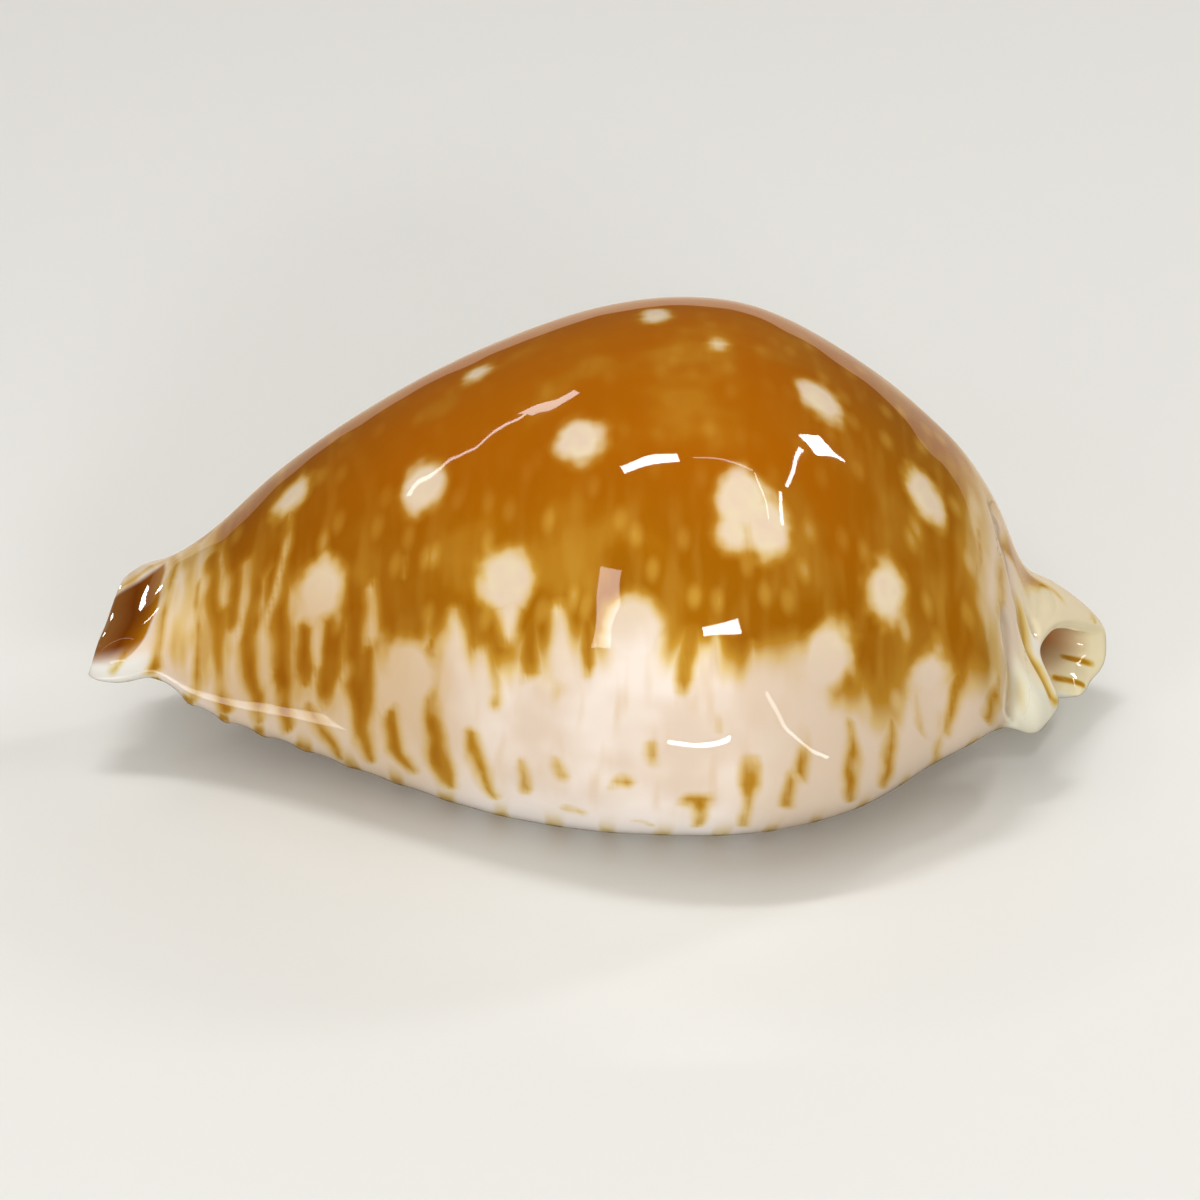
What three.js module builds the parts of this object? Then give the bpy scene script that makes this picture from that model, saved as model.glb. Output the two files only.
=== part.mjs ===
// A great spotted cowrie shell, lying on its base, in millimetres with +Z up.
// +X points to the broad posterior end, -X to the narrow anterior end. The outer lip is on the +Y side
// and the columella on the -Y side. The long slit between them, the aperture, is underneath.
// The shell is one rolled wall: each cross section is a closed ring that runs round the outside from the
// outer lip over the back to the columellar lip, and comes back along the wall of the hollow.
import * as THREE from "three";
import { LoftGeometry } from "three/addons/geometries/LoftGeometry.js";

const LENGTH = 62;
const WIDTH = 37;
const HEIGHT = 27.8;

// The outlines below are points [share of the length from the middle, share of a driving dimension].
// Height of the back, as a share of HEIGHT: a hump behind the middle that falls to two narrow spouts.
const BACK = [
  [-0.5, 0.355], [-0.46, 0.385], [-0.42, 0.43], [-0.39, 0.48], [-0.32, 0.628], [-0.22, 0.785], [-0.1, 0.915],
  [0, 0.983], [0.07, 1], [0.15, 0.977], [0.23, 0.887], [0.31, 0.75], [0.36, 0.628], [0.39, 0.512], [0.41, 0.395],
  [0.44, 0.35], [0.5, 0.275],
];
// Height of the base: flat in the middle, and rising to both ends as a boat's bottom does.
const BASE = [
  [-0.5, 0.235], [-0.47, 0.237], [-0.44, 0.245], [-0.4, 0.175], [-0.31, 0.102], [-0.21, 0.036], [-0.11, -0.01],
  [0.05, -0.02], [0.18, -0.008], [0.26, 0.036], [0.33, 0.12], [0.38, 0.16], [0.41, 0.125], [0.5, 0.12],
];
// How much lower the outer lip's base hangs than the columella's, in millimetres: it droops at the posterior end.
const OUTER_LIP_DROP = [[0.36, 0], [0.42, 1], [0.5, 1.4]];
// How far the columellar side bulges, as a share of half the WIDTH.
const NEAR_SIDE = [
  [-0.5, 0.235], [-0.45, 0.25], [-0.4, 0.295], [-0.32, 0.42], [-0.22, 0.607], [-0.1, 0.83], [0.03, 0.99],
  [0.12, 1.003], [0.22, 0.9], [0.31, 0.695], [0.37, 0.54], [0.395, 0.4], [0.42, 0.345], [0.5, 0.24],
];
// The same for the side of the outer lip.
const FAR_SIDE = [
  [-0.5, 0.235], [-0.45, 0.255], [-0.4, 0.315], [-0.32, 0.445], [-0.22, 0.63], [-0.1, 0.84], [0.03, 0.988],
  [0.12, 1.001], [0.22, 0.885], [0.31, 0.695], [0.37, 0.53], [0.4, 0.41], [0.43, 0.37], [0.5, 0.31],
];
// Where the aperture's middle runs, and half its width, in millimetres.
const SLIT_MIDDLE = [[-0.5, 0.3], [-0.32, 0.7], [0, 1.2], [0.22, 1.1], [0.38, -0.3], [0.5, -2.2]];
const SLIT_HALF = [[-0.5, 1.8], [-0.42, 1.6], [-0.29, 1.35], [0, 1.05], [0.29, 1.05], [0.4, 1.3], [0.5, 1.7]];

// Each section is widest at this share of its height, and these exponents square it off a little.
const WIDEST = 0.38;
const BACK_SQUARENESS = 2.08;
const BASE_SQUARENESS = 2.35;

// Thickness of the wall along the back, and for each lip its thickness, the reach of its round nose and how
// thick the side above it is beside the wall of the back. A lip takes up at most LIP_SHARE of the height.
const BACK_WALL = [[-0.5, 1.1], [-0.4, 1.3], [-0.2, 1.9], [0.36, 1.8], [0.43, 1.8], [0.465, 2.6], [0.5, 2.6]];
const OUTER_LIP = { thickness: 4.4, nose: 2.3, side: 1.1 };
const INNER_LIP = { thickness: 6.2, nose: 2.7, side: 0.75 };
const LIP_SHARE = 0.36;

// The anterior spout, from where it starts to where its form is complete, as shares of the length. It leans, so
// that its outer lip is the higher one, and its top dips to a saddle between the two lips' raised edges.
const SPOUT = { start: 0.42, full: 0.46, lean: 0.13, saddle: 1 };

// Where the wall ends round each spout, as [way round from outer lip to columellar lip, share of the length].
const POSTERIOR_RIM = [
  [0, 0.465], [0.06, 0.48], [0.13, 0.495], [0.24, 0.5], [0.34, 0.492], [0.42, 0.476], [0.48, 0.458], [0.55, 0.435],
  [0.61, 0.421], [0.67, 0.43], [0.74, 0.44], [0.82, 0.432], [1, 0.433],
];
const ANTERIOR_RIM = [[0, -0.475], [0.3, -0.47], [0.5, -0.485], [0.65, -0.493], [0.8, -0.5], [1, -0.495]];
// How far in from the rim the wall reaches its full thickness, in millimetres, by the way round.
const POSTERIOR_ROUNDING = [[0.35, 3], [0.6, 1.6]];
const ANTERIOR_ROUNDING = [[0, 2]];
const RIM_LENGTH = 2.2;

// Ribs that cross the base on both sides of the aperture, one to every second station.
const RIB_COUNT = 23;
const RIB_HEIGHT = 0.55;
const RIB_CROWDING = 0.3;
const RIB_FADE = { full: 0.06, gone: 0.17 };
const RIB_ENDS = { gone: 0.03, full: 0.11 };

// The ring's points: the nose of the lip, the base out to the side, and the side up to the crest of the back.
const NOSE_STEPS = 5;
const BASE_STEPS = 7;
const BACK_STEPS = 6;
const RIM_STEPS = 5;
const NOSE_END = 0.07;
const BASE_END = 0.26;

// A smooth curve through points [x, value], level past its two ends.
function follow(points, x) {
  const last = points.length - 1;
  if (x <= points[0][0]) {
    return points[0][1];
  }
  if (x >= points[last][0]) {
    return points[last][1];
  }
  const slope = (i) => (points[i + 1][1] - points[i][1]) / (points[i + 1][0] - points[i][0]);
  const tangent = (i) => {
    if (i === 0 || i === last) {
      return slope(Math.min(i, last - 1));
    }
    const before = points[i][0] - points[i - 1][0];
    const after = points[i + 1][0] - points[i][0];
    return (slope(i - 1) * after + slope(i) * before) / (before + after);
  };
  const i = points.findIndex((p) => p[0] > x) - 1;
  const span = points[i + 1][0] - points[i][0];
  const t = (x - points[i][0]) / span;
  return (
    points[i][1] * (1 + 2 * t) * (1 - t) ** 2 +
    tangent(i) * span * t * (1 - t) ** 2 +
    points[i + 1][1] * t * t * (3 - 2 * t) -
    tangent(i + 1) * span * t * t * (1 - t)
  );
}

// A quarter of a squared-off ellipse: both shares, across and up, at a quarter turn's share t.
function quarter(t, squareness) {
  const angle = (t * Math.PI) / 2;
  return [Math.cos(angle) ** (2 / squareness), Math.sin(angle) ** (2 / squareness)];
}

// The shell's main measures in the section at x.
function measures(x) {
  const share = x / LENGTH;
  const back = HEIGHT * follow(BACK, share);
  const base = HEIGHT * follow(BASE, share);
  return {
    back,
    base,
    wide: base + WIDEST * (back - base),
    near: (WIDTH / 2) * follow(NEAR_SIDE, share),
    far: (WIDTH / 2) * follow(FAR_SIDE, share),
    slit: follow(SLIT_MIDDLE, share),
    gap: follow(SLIT_HALF, share),
    wall: follow(BACK_WALL, share),
    drop: follow(OUTER_LIP_DROP, share),
  };
}

// How much of the anterior spout's form the section at x has, from 0 on the body to 1 at the spout's end.
function spoutShare(x) {
  return THREE.MathUtils.smoothstep(-x / LENGTH, SPOUT.start, SPOUT.full);
}

// One point of the ring's outer or inner line, as [y, z]. way runs from 0 at the outer lip's nose, over the
// crest at 0.5, to 1 at the columellar lip's nose.
function ringPoint(x, way, inside) {
  const m = measures(x);
  const side = way < 0.5 ? 1 : -1;
  const fromLip = way < 0.5 ? way : 1 - way;
  const lip = side > 0 ? OUTER_LIP : INNER_LIP;
  const half = side > 0 ? m.far : m.near;
  const base = side > 0 ? m.base - m.drop : m.base;
  const thickness = Math.min(lip.thickness, LIP_SHARE * (m.back - base));
  const nose = Math.min(lip.nose, 0.35 * half);
  const noseRoot = m.slit + side * (m.gap + nose);
  const reach = side * (inside ? half - lip.side * m.wall : half);
  const floor = inside ? base + thickness : base;
  const roof = inside ? m.back - m.wall : m.back;
  const wide = Math.max(m.wide, inside ? floor + 0.1 * (roof - floor) : 0);
  const lean = SPOUT.lean * spoutShare(x);
  if (fromLip < NOSE_END) {
    const [out, up] = quarter(1 - fromLip / NOSE_END, 2);
    const y = noseRoot - side * nose * up;
    return [y, base + thickness / 2 + (inside ? 1 : -1) * (thickness / 2) * out + lean * y];
  }
  if (fromLip < BASE_END) {
    const [down, out] = quarter((fromLip - NOSE_END) / (BASE_END - NOSE_END), BASE_SQUARENESS);
    const y = noseRoot + (reach - noseRoot) * out;
    return [y, wide - (wide - floor) * down + lean * y];
  }
  const [out, up] = quarter((fromLip - BASE_END) / (0.5 - BASE_END), BACK_SQUARENESS);
  const saddle = SPOUT.saddle * spoutShare(x) * (1 - out * out) ** 2;
  return [reach * out, wide + (roof - wide) * up - saddle + lean * reach * out];
}

// The stations along the shell, as shares from rim to rim: close together where a rim rounds over, and
// otherwise two to a rib, with the ribs closer together towards both ends.
function stationShares() {
  const rim = RIM_LENGTH / LENGTH;
  const rounding = Array.from({ length: RIM_STEPS }, (_, i) => rim * (i / RIM_STEPS) ** 2);
  const body = Array.from({ length: 2 * RIB_COUNT + 1 }, (_, i) => {
    const t = i / (2 * RIB_COUNT);
    return rim + (1 - 2 * rim) * (t - (RIB_CROWDING * Math.sin(2 * Math.PI * t)) / (2 * Math.PI));
  });
  return [...rounding, ...body, ...rounding.map((share) => 1 - share).reverse()];
}

// The ring's steps, from the outer lip's nose over the crest to the columellar lip's nose.
function ringWays() {
  const steps = (from, to, count) => Array.from({ length: count }, (_, i) => from + ((to - from) * i) / count);
  const half = [
    ...steps(0, NOSE_END, NOSE_STEPS),
    ...steps(NOSE_END, BASE_END, BASE_STEPS),
    ...steps(BASE_END, 0.5, BACK_STEPS),
  ];
  return [...half, 0.5, ...half.map((way) => 1 - way).reverse()];
}

const SHARES = stationShares();
const WAYS = ringWays();

// The wall's share of its full thickness near a rim: 0 at the rim, and 1 where the rounding ends.
function rimFullness(share, way, length) {
  const rounding = follow(share < 0.5 ? ANTERIOR_ROUNDING : POSTERIOR_ROUNDING, way);
  const t = Math.min(1, (Math.min(share, 1 - share) * length) / rounding);
  return Math.sqrt(1 - (1 - t) ** 2);
}

// How far a rib stands out at one point of the outer line. Ribs sit on every second station of the body, those
// of the columellar side between those of the outer lip. They fade towards the sides and towards both spouts.
function ribHeight(station, way) {
  const onBody = station >= RIM_STEPS && station < SHARES.length - RIM_STEPS;
  const turn = station - RIM_STEPS + (way < 0.5 ? 0 : 1);
  if (!onBody || turn % 2 === 0) {
    return 0;
  }
  const fromLip = Math.min(way, 1 - way);
  const fromRim = Math.min(SHARES[station], 1 - SHARES[station]);
  const aside = 1 - THREE.MathUtils.smoothstep(fromLip, RIB_FADE.full, RIB_FADE.gone);
  return RIB_HEIGHT * aside * THREE.MathUtils.smoothstep(fromRim, RIB_ENDS.gone, RIB_ENDS.full);
}

// Moves the outer line's points outwards by the ribs, and levels off what would lie below the ground.
function raiseRibs(points, station) {
  const count = points.length;
  return points.map((point, i) => {
    const raised = point.clone();
    if (i < WAYS.length) {
      const before = points[(i + count - 1) % count];
      const after = points[(i + 1) % count];
      const outwards = new THREE.Vector3(0, after.z - before.z, before.y - after.y).normalize();
      raised.addScaledVector(outwards, ribHeight(station, WAYS[i]));
    }
    raised.z = Math.max(0, raised.z);
    return raised;
  });
}

// One closed ring of the loft: the outer line from lip to lip, then the inner line back. At a rim the two lines
// meet, which closes the wall.
function ring(share, station) {
  const outer = [];
  const inner = [];
  for (const way of WAYS) {
    const start = LENGTH * follow(ANTERIOR_RIM, way);
    const end = LENGTH * follow(POSTERIOR_RIM, way);
    const x = start + (end - start) * share;
    const out = new THREE.Vector3(x, ...ringPoint(x, way, false));
    const within = new THREE.Vector3(x, ...ringPoint(x, way, true));
    const middle = out.clone().lerp(within, 0.5);
    const fullness = rimFullness(share, way, end - start);
    outer.push(middle.clone().lerp(out, fullness));
    inner.push(middle.clone().lerp(within, fullness));
  }
  return raiseRibs([...outer, ...inner.slice(1, -1).reverse()], station);
}

const shell = new THREE.Mesh(
  new LoftGeometry(SHARES.map(ring)),
  new THREE.MeshStandardMaterial({ name: "glazed_shell", color: 0xb8700a, roughness: 0.12, metalness: 0 }),
);
shell.name = "shell";

const cowrie = new THREE.Group();
cowrie.add(shell);

export default cowrie;
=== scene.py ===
# %% [markdown]
# # A great spotted cowrie shell
# A cowrie is a snail whose shell looks like an egg with a slit along its base. While the snail lives, it folds
# its mantle over the shell from both sides and lays glaze on it, so the whole outside is glossy. This scene
# shows one such shell: an orange-brown back with cream spots, white sides where the brown runs out in drips
# and stripes, and fine brown ribs across the base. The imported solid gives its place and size.

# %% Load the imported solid
import math
from functools import partial

import bmesh
import bpy
import numpy as np
from mathutils import Matrix, Vector


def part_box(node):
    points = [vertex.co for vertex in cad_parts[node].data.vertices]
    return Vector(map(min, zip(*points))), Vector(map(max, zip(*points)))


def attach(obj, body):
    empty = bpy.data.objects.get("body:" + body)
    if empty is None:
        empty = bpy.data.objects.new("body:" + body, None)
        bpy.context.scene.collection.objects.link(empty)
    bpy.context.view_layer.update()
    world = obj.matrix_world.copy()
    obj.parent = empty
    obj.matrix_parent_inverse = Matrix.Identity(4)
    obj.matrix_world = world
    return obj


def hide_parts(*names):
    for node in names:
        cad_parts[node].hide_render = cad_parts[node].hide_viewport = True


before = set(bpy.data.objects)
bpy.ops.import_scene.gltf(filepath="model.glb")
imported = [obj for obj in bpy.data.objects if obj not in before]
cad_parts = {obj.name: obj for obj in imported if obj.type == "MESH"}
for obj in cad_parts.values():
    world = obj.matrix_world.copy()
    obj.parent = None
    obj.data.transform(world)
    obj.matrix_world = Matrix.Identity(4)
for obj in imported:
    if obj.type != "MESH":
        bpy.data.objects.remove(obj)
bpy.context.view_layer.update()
MM = 0.001
low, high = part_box("shell")
LENGTH = (high.x - low.x) / MM
WIDTH_TO_LENGTH = 0.597
HEIGHT_TO_LENGTH = 0.4484
WIDTH = WIDTH_TO_LENGTH * LENGTH
HEIGHT = HEIGHT_TO_LENGTH * LENGTH
print("shell", round(LENGTH, 2), "mm long,", round(WIDTH, 2), "wide,", round(HEIGHT, 2), "high")

# %% [markdown]
# ## The outlines of the shell
# An egg shape with a spout at each end isn't a sphere or a lathe form, because its back, its base and its two
# sides all curve differently. Boat builders have the same task, and solve it with lines: a few curves that say
# how high and how wide the hull is at each station. The same is done here. Each curve is a short list of
# [share of the length from the middle, value], and follow() draws a smooth curve through it. The solid was
# lofted from the same lines.

# %% Curves along the shell
# Heights, as shares of the height.
BACK = [
    [-0.5, 0.355], [-0.46, 0.385], [-0.42, 0.43], [-0.39, 0.48], [-0.32, 0.628], [-0.22, 0.785], [-0.1, 0.915],
    [0, 0.983], [0.07, 1], [0.15, 0.977], [0.23, 0.887], [0.31, 0.75], [0.36, 0.628], [0.39, 0.512],
    [0.41, 0.395], [0.44, 0.35], [0.5, 0.275],
]
BASE = [
    [-0.5, 0.235], [-0.47, 0.237], [-0.44, 0.245], [-0.4, 0.175], [-0.31, 0.102], [-0.21, 0.036], [-0.11, -0.01],
    [0.05, -0.02], [0.18, -0.008], [0.26, 0.036], [0.33, 0.12], [0.38, 0.16], [0.41, 0.125], [0.5, 0.12],
]
# Distances from the middle, as shares of half the width.
NEAR_SIDE = [
    [-0.5, 0.235], [-0.45, 0.25], [-0.4, 0.295], [-0.32, 0.42], [-0.22, 0.607], [-0.1, 0.83], [0.03, 0.99],
    [0.12, 1.003], [0.22, 0.9], [0.31, 0.695], [0.37, 0.54], [0.395, 0.4], [0.42, 0.345], [0.5, 0.24],
]
FAR_SIDE = [
    [-0.5, 0.235], [-0.45, 0.255], [-0.4, 0.315], [-0.32, 0.445], [-0.22, 0.63], [-0.1, 0.84], [0.03, 0.988],
    [0.12, 1.001], [0.22, 0.885], [0.31, 0.695], [0.37, 0.53], [0.4, 0.41], [0.43, 0.37], [0.5, 0.31],
]
# The slit's place and half width, the wall of the back and how much lower the outer lip hangs, all in mm.
SLIT_MIDDLE = [[-0.5, 0.3], [-0.32, 0.7], [0, 1.2], [0.22, 1.1], [0.38, -0.3], [0.5, -2.2]]
SLIT_HALF = [[-0.5, 1.8], [-0.42, 1.6], [-0.29, 1.35], [0, 1.05], [0.29, 1.05], [0.4, 1.3], [0.5, 1.7]]
BACK_WALL = [[-0.5, 1.1], [-0.4, 1.3], [-0.2, 1.9], [0.36, 1.8], [0.43, 1.8], [0.465, 2.6], [0.5, 2.6]]
OUTER_LIP_DROP = [[0.36, 0], [0.42, 1], [0.5, 1.4]]


def follow(points, x):
    """A smooth curve through points [x, value], level past its two ends, at every x of an array."""
    points = np.array(points, float)
    x = np.clip(x, points[0, 0], points[-1, 0])
    span = np.diff(points[:, 0])
    slope = np.diff(points[:, 1]) / span
    inner = (slope[:-1] * span[1:] + slope[1:] * span[:-1]) / (span[:-1] + span[1:])
    tangent = np.concatenate([slope[:1], inner, slope[-1:]])
    i = np.clip(np.searchsorted(points[:, 0], x, side="right") - 1, 0, len(span) - 1)
    t = (x - points[i, 0]) / span[i]
    start = points[i, 1] * (1 + 2 * t) + tangent[i] * span[i] * t
    end = points[i + 1, 1] * (3 - 2 * t) - tangent[i + 1] * span[i] * (1 - t)
    return start * (1 - t) ** 2 + end * t ** 2


def smooth(x, start, full):
    """Rises from 0 at start to 1 at full, without a corner."""
    t = np.clip((x - start) / (full - start), 0, 1)
    return t * t * (3 - 2 * t)


print("highest point of the back", round(float(HEIGHT * follow(BACK, 0.07)), 2), "mm")

# %% [markdown]
# ## One cross section
# Cut across, the shell is a letter C that lies on its opening: a wall that starts at the outer lip, goes round
# the side and over the back, and ends at the columellar lip, with the slit between the two. A point on it is
# told by how far it is round this way: 0 at the outer lip, 0.5 on the crest, 1 at the columellar lip. Each half
# has three stretches, the lip's round nose, the base out to the widest line, and the side up to the crest, and
# each of them is a quarter of a slightly squared ellipse.

# %% The cross section's formula
WIDEST = 0.38
BACK_SQUARENESS = 2.08
BASE_SQUARENESS = 2.35
NOSE_SQUARENESS = 2
NOSE_END = 0.07
BASE_END = 0.26
LIP_SHARE = 0.36
NOSE_SHARE = 0.35
HOLLOW_WIDEST = 0.1
# Thickness and nose in mm, and the wall of the side as a share of the wall of the back.
OUTER_LIP = {"thickness": 4.4, "nose": 2.3, "side": 1.1}
INNER_LIP = {"thickness": 6.2, "nose": 2.7, "side": 0.75}
# Where the anterior spout starts and is full, as shares of the length, how it leans and how deep it is worn.
SPOUT = {"start": 0.42, "full": 0.46, "lean": 0.13, "saddle": 1}


def quarter(t, squareness):
    """The shares across and up, a share t of the way through a quarter of a squared ellipse."""
    angle = np.clip(t, 0, 1) * math.pi / 2
    return np.abs(np.cos(angle)) ** (2 / squareness), np.abs(np.sin(angle)) ** (2 / squareness)


def section(x, way, inside):
    """The places y and z, in mm, of points of the cross sections at x, on the outside or in the hollow."""
    share = x / LENGTH
    outer = way < 0.5
    side = np.where(outer, 1.0, -1.0)
    from_lip = np.where(outer, way, 1 - way)
    back = HEIGHT * follow(BACK, share)
    middle_base = HEIGHT * follow(BASE, share)
    wall = follow(BACK_WALL, share)
    half = WIDTH / 2 * np.where(outer, follow(FAR_SIDE, share), follow(NEAR_SIDE, share))
    base = middle_base - np.where(outer, follow(OUTER_LIP_DROP, share), 0)
    lip = np.where(outer, OUTER_LIP["thickness"], INNER_LIP["thickness"])
    thickness = np.minimum(lip, LIP_SHARE * (back - base))
    nose = np.minimum(np.where(outer, OUTER_LIP["nose"], INNER_LIP["nose"]), NOSE_SHARE * half)
    root = follow(SLIT_MIDDLE, share) + side * (follow(SLIT_HALF, share) + nose)
    side_wall = np.where(outer, OUTER_LIP["side"], INNER_LIP["side"]) * wall
    reach = side * (half - np.where(inside, side_wall, 0))
    floor = base + np.where(inside, thickness, 0)
    roof = back - np.where(inside, wall, 0)
    wide = middle_base + WIDEST * (back - middle_base)
    wide = np.where(inside, np.maximum(wide, floor + HOLLOW_WIDEST * (roof - floor)), wide)

    nose_out, nose_up = quarter(1 - from_lip / NOSE_END, NOSE_SQUARENESS)
    base_down, base_out = quarter((from_lip - NOSE_END) / (BASE_END - NOSE_END), BASE_SQUARENESS)
    back_out, back_up = quarter((from_lip - BASE_END) / (0.5 - BASE_END), BACK_SQUARENESS)
    spout = smooth(-share, SPOUT["start"], SPOUT["full"])
    saddle = SPOUT["saddle"] * spout * (1 - back_out ** 2) ** 2
    stretch = [from_lip < NOSE_END, from_lip < BASE_END]
    y = np.select(stretch, [root - side * nose * nose_up, root + (reach - root) * base_out], reach * back_out)
    nose_z = base + thickness / 2 * (1 + np.where(inside, 1, -1) * nose_out)
    z = np.select(stretch, [nose_z, wide - (wide - floor) * base_down], wide + (roof - wide) * back_up - saddle)
    return y, z + SPOUT["lean"] * spout * y


print("crest at the middle", [round(float(v), 2) for v in section(np.array(0.0), np.array(0.5), False)])

# %% [markdown]
# ## The shell as a rolled sheet
# A grid is a sheet of clay with even squares. Its one direction is laid along the shell and its other round the
# cross section: first over the outside, then back along the hollow. That rolls it to a closed wall. At the two
# spouts the outside and the hollow come together in a rounded rim, so there the sheet's first and last rows
# fold flat and their doubled points are merged. A grid is used, and not a sphere, because its rows then run
# the way the shell grew, along the ribs and the drips of its pattern.

# %% Roll the sheet
# Where the first and the last row lie: [way round, share of the length from the middle].
ANTERIOR_RIM = [[0, -0.475], [0.3, -0.47], [0.5, -0.485], [0.65, -0.493], [0.8, -0.5], [1, -0.495]]
POSTERIOR_RIM = [
    [0, 0.465], [0.06, 0.48], [0.13, 0.495], [0.24, 0.5], [0.34, 0.492], [0.42, 0.476], [0.48, 0.458],
    [0.55, 0.435], [0.61, 0.421], [0.67, 0.43], [0.74, 0.44], [0.82, 0.432], [1, 0.433],
]
# How far from its rim the wall has its full thickness: [way round, mm].
ANTERIOR_ROUNDING = [[0, 2], [1, 2]]
POSTERIOR_ROUNDING = [[0.35, 3], [0.6, 1.6]]
RIM_LENGTH = 2.6
RIM_ROWS = 10
STATIONS = 124
HALF_RING = {"nose": 11, "base": 17, "back": 18}
AROUND = 4 * sum(HALF_RING.values())
MERGE_METRES = 1e-7


def station_share(row):
    """How far along the shell a row of the sheet lies: close to its neighbours where a rim rounds over."""
    rim = RIM_LENGTH / LENGTH
    from_end = np.minimum(row, STATIONS - row)
    rounding = rim * (from_end / RIM_ROWS) ** 2
    body = rim + (1 - 2 * rim) * (from_end - RIM_ROWS) / (STATIONS - 2 * RIM_ROWS)
    share = np.where(from_end < RIM_ROWS, rounding, body)
    return np.where(row < STATIONS / 2, share, 1 - share)


def ring_way(column):
    """How far round the cross section a column of the sheet lies, and whether it is in the hollow."""
    half = AROUND // 4
    inside = column > 2 * half
    on = np.where(inside, 4 * half - column, column)
    from_lip = np.minimum(on, 2 * half - on)
    counts = np.cumsum([0, HALF_RING["nose"], HALF_RING["base"], HALF_RING["back"]])
    way = np.interp(from_lip, counts, [0, NOSE_END, BASE_END, 0.5])
    return np.where(on <= half, way, 1 - way), inside


def place(row, column):
    """Where a point of the sheet lies on the shell, in mm, and its way round."""
    share = station_share(row)
    way, inside = ring_way(column)
    start = LENGTH * follow(ANTERIOR_RIM, way)
    end = LENGTH * follow(POSTERIOR_RIM, way)
    x = start + (end - start) * share
    out = np.stack(section(x, way, False), -1)
    hollow = np.stack(section(x, way, True), -1)
    anterior = row < STATIONS / 2
    rounding = np.where(anterior, follow(ANTERIOR_ROUNDING, way), follow(POSTERIOR_ROUNDING, way))
    from_rim = np.minimum(share, 1 - share) * (end - start)
    fullness = np.sqrt(1 - (1 - np.minimum(1, from_rim / rounding)) ** 2)
    middle = (out + hollow) / 2
    across = middle + (np.where(inside[:, None], hollow, out) - middle) * fullness[:, None]
    return np.column_stack([x, across]), way


sheet = bmesh.new()
bmesh.ops.create_grid(sheet, x_segments=STATIONS, y_segments=AROUND, size=0.5)
flat = np.array([vert.co for vert in sheet.verts])
rows = (flat[:, 0] + 0.5) * STATIONS
columns = np.round((flat[:, 1] + 0.5) * AROUND)
rolled, ways = place(rows, columns)
way_layer = sheet.verts.layers.float.new("way")
hollow_layer = sheet.verts.layers.float.new("hollow")
for vert, spot, way, column in zip(sheet.verts, rolled, ways, columns):
    vert.co = Vector(spot * MM)
    vert[way_layer] = way
    vert[hollow_layer] = 1 if column > AROUND / 2 else 0
bmesh.ops.remove_doubles(sheet, verts=sheet.verts, dist=MERGE_METRES)
bmesh.ops.dissolve_degenerate(sheet, edges=sheet.edges, dist=MERGE_METRES)
bmesh.ops.recalc_face_normals(sheet, faces=sheet.faces)
open_edges = sum(1 for edge in sheet.edges if not edge.is_manifold)
print("rolled sheet:", len(sheet.verts), "points,", open_edges, "open edges")

# %% [markdown]
# ## From the sheet to a smooth shell
# The glaze shows every flat facet as a kink in its reflections. One level of subdivision rounds the sheet, and
# it is made real here, because the ribs and the painted pattern need its points. The ribs are then raised on
# the finished surface: each is a soft wave along the shell, highest at the lips of the slit, and gone where the
# base turns up to the sides.

# %% Subdivide and raise the ribs
RIB_COUNT = 23
RIB_HEIGHT = 0.5
RIB_CROWDING = 0.3
RIB_SHARPNESS = 1.5
# The ribs of one lip stand against the gaps of the other, as teeth of a zip do.
RIB_SHIFT = {"outer": 0.25, "inner": 0.75}
RIB_FADE = {"full": 0.06, "gone": 0.17}
RIB_ENDS = {"gone": 0.03, "full": 0.11}


def mesh_object(name, source):
    """A new object at the origin from a bmesh, with smooth shading."""
    mesh = bpy.data.meshes.new(name)
    source.to_mesh(mesh)
    source.free()
    mesh.shade_smooth()
    made = bpy.data.objects.new(name, mesh)
    bpy.context.scene.collection.objects.link(made)
    return made


def numbers(mesh, what, width):
    """Reads a value of every vertex, or of a named attribute, into an array."""
    values = np.zeros(len(mesh.vertices) * width, np.float32)
    if what in ("co", "normal"):
        mesh.vertices.foreach_get(what, values)
    else:
        mesh.attributes[what].data.foreach_get("value", values)
    return values.reshape(-1, width) if width > 1 else values


shell = mesh_object("glazed_shell", sheet)
rounded = shell.modifiers.new("rounded", "SUBSURF")
rounded.levels = 1
rounded.render_levels = 1
graph = bpy.context.evaluated_depsgraph_get()
dense = bpy.data.meshes.new_from_object(shell.evaluated_get(graph))
shell.modifiers.clear()
shell.data = dense
dense.name = "glazed_shell"

points = numbers(dense, "co", 3) / MM
normals = numbers(dense, "normal", 3)
way = numbers(dense, "way", 1)
hollow = numbers(dense, "hollow", 1)
x = points[:, 0]
start = LENGTH * follow(ANTERIOR_RIM, way)
end = LENGTH * follow(POSTERIOR_RIM, way)
along = (x - start) / (end - start)
even = np.linspace(0, 1, 400)
crowded = even - RIB_CROWDING * np.sin(2 * math.pi * even) / (2 * math.pi)
far_side = way < 0.5
rib = RIB_COUNT * np.interp(along, crowded, even) + np.where(far_side, RIB_SHIFT["outer"], RIB_SHIFT["inner"])
from_lip = np.minimum(way, 1 - way)
strength = (1 - smooth(from_lip, RIB_FADE["full"], RIB_FADE["gone"])) * (1 - smooth(hollow, 0.1, 0.9))
strength *= smooth(np.minimum(along, 1 - along), RIB_ENDS["gone"], RIB_ENDS["full"])
wave = (0.5 + 0.5 * np.cos(2 * math.pi * rib)) ** RIB_SHARPNESS
points += normals * (RIB_HEIGHT * strength * wave)[:, None]
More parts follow.
